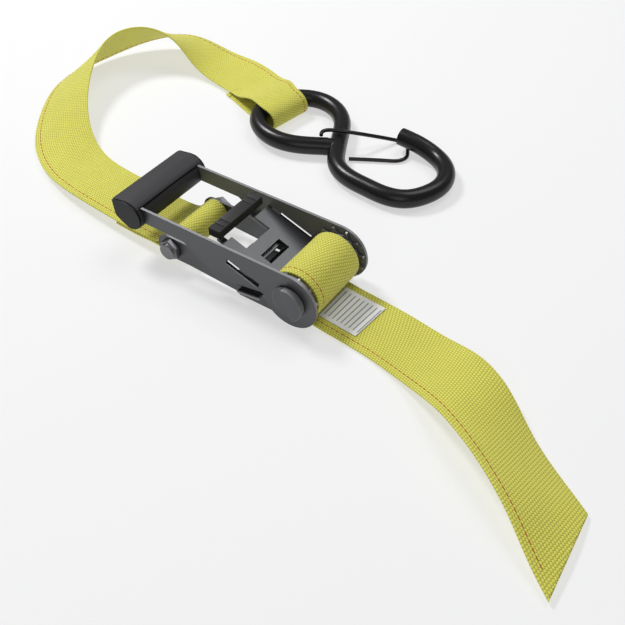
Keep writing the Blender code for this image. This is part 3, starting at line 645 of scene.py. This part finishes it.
gate_pts = [(-96.4, 150.2, 17.9), (-97.8, 153.2, 18.6), (-96.6, 158.0, 18.6),
            (-91.4, 161.8, 18.5), (-80.3, 167.0, 18.0), (-67.0, 182.4, 11.0),
            (-56.0, 195.4, 4.7), (-51.8, 200.2, 2.3), (-46.5, 202.0, 1.8),
            (-40.0, 198.4, 1.7), (-35.0, 190.8, 1.7), (-32.2, 183.0, 1.7),
            (-35.0, 175.8, 1.7), (-43.0, 170.2, 1.75), (-70.9, 154.0, 2.0)]
line = spline([(A(x), y * MM, z * MM) for x, y, z in gate_pts], 220)
gate = place(tube("gate_wire", line, 1.65 * MM, gate_mat, sides=16, cap=0.4 * MM),
             "gate", "wire_gate", slot="hook_black")

# ------------------------------------------------------------------ long strap
turn = []
for i in range(13):
    a = math.radians(-30 + 300.0 * i / 12)
    turn.append((18.45 * math.cos(a), 0.0, 22.3 + 18.45 * math.sin(a), 0.0, 0.0,
                 1.0))
tail_route = [(12.0, 0.0, 2.2, 0, 0, 1), (24.0, -0.4, 1.1, 0, 0, 1),
              (42.0, -1.8, 1.0, 0, 0, 1), (62.4, -4.2, 1.4, 0, 0, 1),
              (90.0, -10.8, 4.0, 2.1, 0, 1), (114.8, -20.9, 11.6, 6.2, 0, 1),
              (135.4, -31.7, 15.2, -1.4, 0, 1),
              (162.4, -48.5, 12.2, -17.3, 0, 1),
              (182.5, -61.6, 10.0, -20.0, 0, 1),
              (204.0, -76.0, 7.6, -15.3, 0, 1),
              (226.0, -91.5, 3.2, -6.0, 0, 1),
              (252.0, -109.5, 1.0, 0, 0, 1)]
tail_rib = Ribbon(turn + tail_route, 320)
tail = tail_rib.mesh("long_webbing", web_mat)
bm = bmesh.new()
bm.from_mesh(tail.data)
cut_n = Matrix.Rotation(math.radians(2.5), 3, "Z") @ Vector((1, 0, 0))
res = bmesh.ops.bisect_plane(bm, geom=bm.verts[:] + bm.edges[:] + bm.faces[:],
                             plane_co=Vector((A(226.2), -0.0933, 0)),
                             plane_no=cut_n, clear_outer=True)
rim_edges = [e for e in res["geom_cut"] if isinstance(e, bmesh.types.BMEdge)]
bmesh.ops.edgeloop_fill(bm, edges=rim_edges)
bmesh.ops.recalc_face_normals(bm, faces=bm.faces)
bm.to_mesh(tail.data)
bm.free()
place(tail, "base", "long_strap", slot="yellow_webbing")
tail_end = tail_rib.d[-1] - 0.036
tail_st1 = place(dashes("tail_stitch_top", tail_rib, -0.79, 0.008, tail_end + 0.012,
                        1), "base", slot="yellow_webbing")
tail_st2 = place(dashes("tail_stitch_under", tail_rib, -0.79, 0.008,
                        tail_end + 0.012, -1), "base", slot="yellow_webbing")

# tag near the spindle
i0 = int(np.searchsorted(tail_rib.d, 0.1085))
i1 = int(np.searchsorted(tail_rib.d, 0.1425))
tag = tail_rib.mesh("tag_cloth", label_mat, across=6, width=0.69,
                    thick=0.4 * MM, lift=1.35 * MM, i0=i0, i1=i1, shift=1.3 * MM)
place(tag, "base", "label", slot="label_cloth")

# wound turns under the outer one
core = refined("webbing_core", web_mat, width=0.4 * MM)

# ------------------------------------------------------------------ short strap
loop = []
for i in range(9):
    a = math.radians(150 - 240.0 * i / 8)
    loop.append((-107.6 + 9.75 * math.cos(a), 0.0, 14.4 + 9.75 * math.sin(a),
                 0, 0, 1))
bolt_end = ([(-190.0, 4.0, 9.4, 0, 0, 1), (-165.0, 1.5, 9.9, 0, 0, 1),
             (-141.0, 0.0, 10.2, 0, 0, 1), (-131.0, 0.0, 10.4, 0, 0, 1),
             (-124.2, 0.0, 11.6, 0, 0, 1), (-119.4, 0.0, 15.2, 0, 0, 1)]
            + loop
            + [(-116.0, 0.0, 5.9, 0, 0, 1), (-124.0, 0.0, 7.5, 0, 0, 1),
               (-140.0, 0.0, 7.75, 0, 0, 1), (-166.0, 1.5, 7.4, 0, 0, 1)])
turn_route = [(-343.3, 161.2, 22.1, -50.9, 0, 1),
              (-337.2, 105.0, 18.6, -33.6, 0, 1),
              (-317.0, 70.0, 13.5, -24.0, 0, 1),
              (-290.3, 40.5, 8.8, -14.0, 0, 1),
              (-255.5, 18.6, 6.2, -4.0, 0, 1),
              (-222.0, 8.5, 8.0, 0, 0, 1)]
hook_route = [(-321.9, 196.8, 24.7, -37.4, 0, 1),
              (-297.8, 209.8, 21.8, -22.0, 0, 1),
              (-262.4, 213.0, 8.2, -5.0, 0, 1),
              (-234.0, 209.3, 5.8, 5.0, 0, 0.98),
              (-212.0, 203.1, 6.8, 7.0, 1, 0.96),
              (-192.0, 194.2, 10.2, 5.0, 5, 0.94),
              (-178.5, 186.8, 16.8, 2.0, 9, 0.91),
              (-168.0, 181.6, 19.6, 0, 13, 0.90),
              (-158.0, 176.4, 19.6, 0, 16, 0.87),
              (-149.2, 174.6, 17.2, 0, 12, 0.85),
              (-144.7, 173.7, 12.8, 0, 9, 0.84),
              (-143.9, 173.5, 8.2, 0, 9, 0.84),
              (-145.7, 173.8, 3.8, 0, 10, 0.84),
              (-152.0, 175.0, 1.3, 0, 14, 0.86),
              (-162.0, 178.6, 1.0, 0, 14, 0.89),
              (-185.0, 190.0, 1.0, 0, 4, 0.96),
              (-212.0, 201.6, 1.0, 0, 0, 1)]
route = [(x, y, z, -b, k, w) for x, y, z, b, k, w in
         hook_route[::-1] + turn_route + bolt_end]
short_rib = Ribbon(route, 460)
short = short_rib.mesh("short_webbing", web_mat)
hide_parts("short_strap")
st1 = dashes("short_stitch_top", short_rib, 0.79, 0.004,
             short_rib.d[-1] - 0.004, 1)
st2 = dashes("short_stitch_under", short_rib, 0.79, 0.004,
             short_rib.d[-1] - 0.004, -1)
for o in (short, st1, st2):
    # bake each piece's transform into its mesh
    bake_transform(o)

# ------------------------------------------------------------------ stage
me = bpy.data.meshes.new("floor")
bm = bmesh.new()
bmesh.ops.create_grid(bm, x_segments=1, y_segments=1, size=6)
bm.to_mesh(me)
bm.free()
paint = principled("floor_paint", (0.36, 0.36, 0.365), 0.9,
                   Specular_IOR_Level=0.1)
glow = paint.node_tree.nodes["Principled BSDF"]
glow.inputs["Emission Color"].default_value = (1, 1, 1, 1)
glow.inputs["Emission Strength"].default_value = 0.56
floor = link("floor", me, paint)
floor.location = (0, 0, -0.0004)


def area(name, at, target, size, power, colour=(1, 1, 1)):
    li = bpy.data.lights.new(name, "AREA")
    li.shape = "DISK"
    li.size = size
    li.energy = power
    li.color = colour
    ob = bpy.data.objects.new(name, li)
    ob.location = at
    ob.rotation_euler = (Vector(target) - Vector(at)).to_track_quat("-Z", "Y").to_euler()
    bpy.context.scene.collection.objects.link(ob)
    return ob


area("key", (-1.15, 0.25, 1.4), (0, 0.05, 0), 0.45, 21)
area("fill", (0.6, -1.3, 1.1), (0, 0.05, 0), 1.2, 4.5)
area("top", (0.2, 1.0, 1.75), (0, 0.05, 0), 1.2, 11)

world = bpy.data.worlds.new("studio")
world.use_nodes = True
bg = world.node_tree.nodes["Background"]
bg.inputs["Color"].default_value = (0.97, 0.98, 1.0, 1)
bg.inputs["Strength"].default_value = 0.22
bpy.context.scene.world = world
bpy.context.scene.view_settings.view_transform = "Standard"
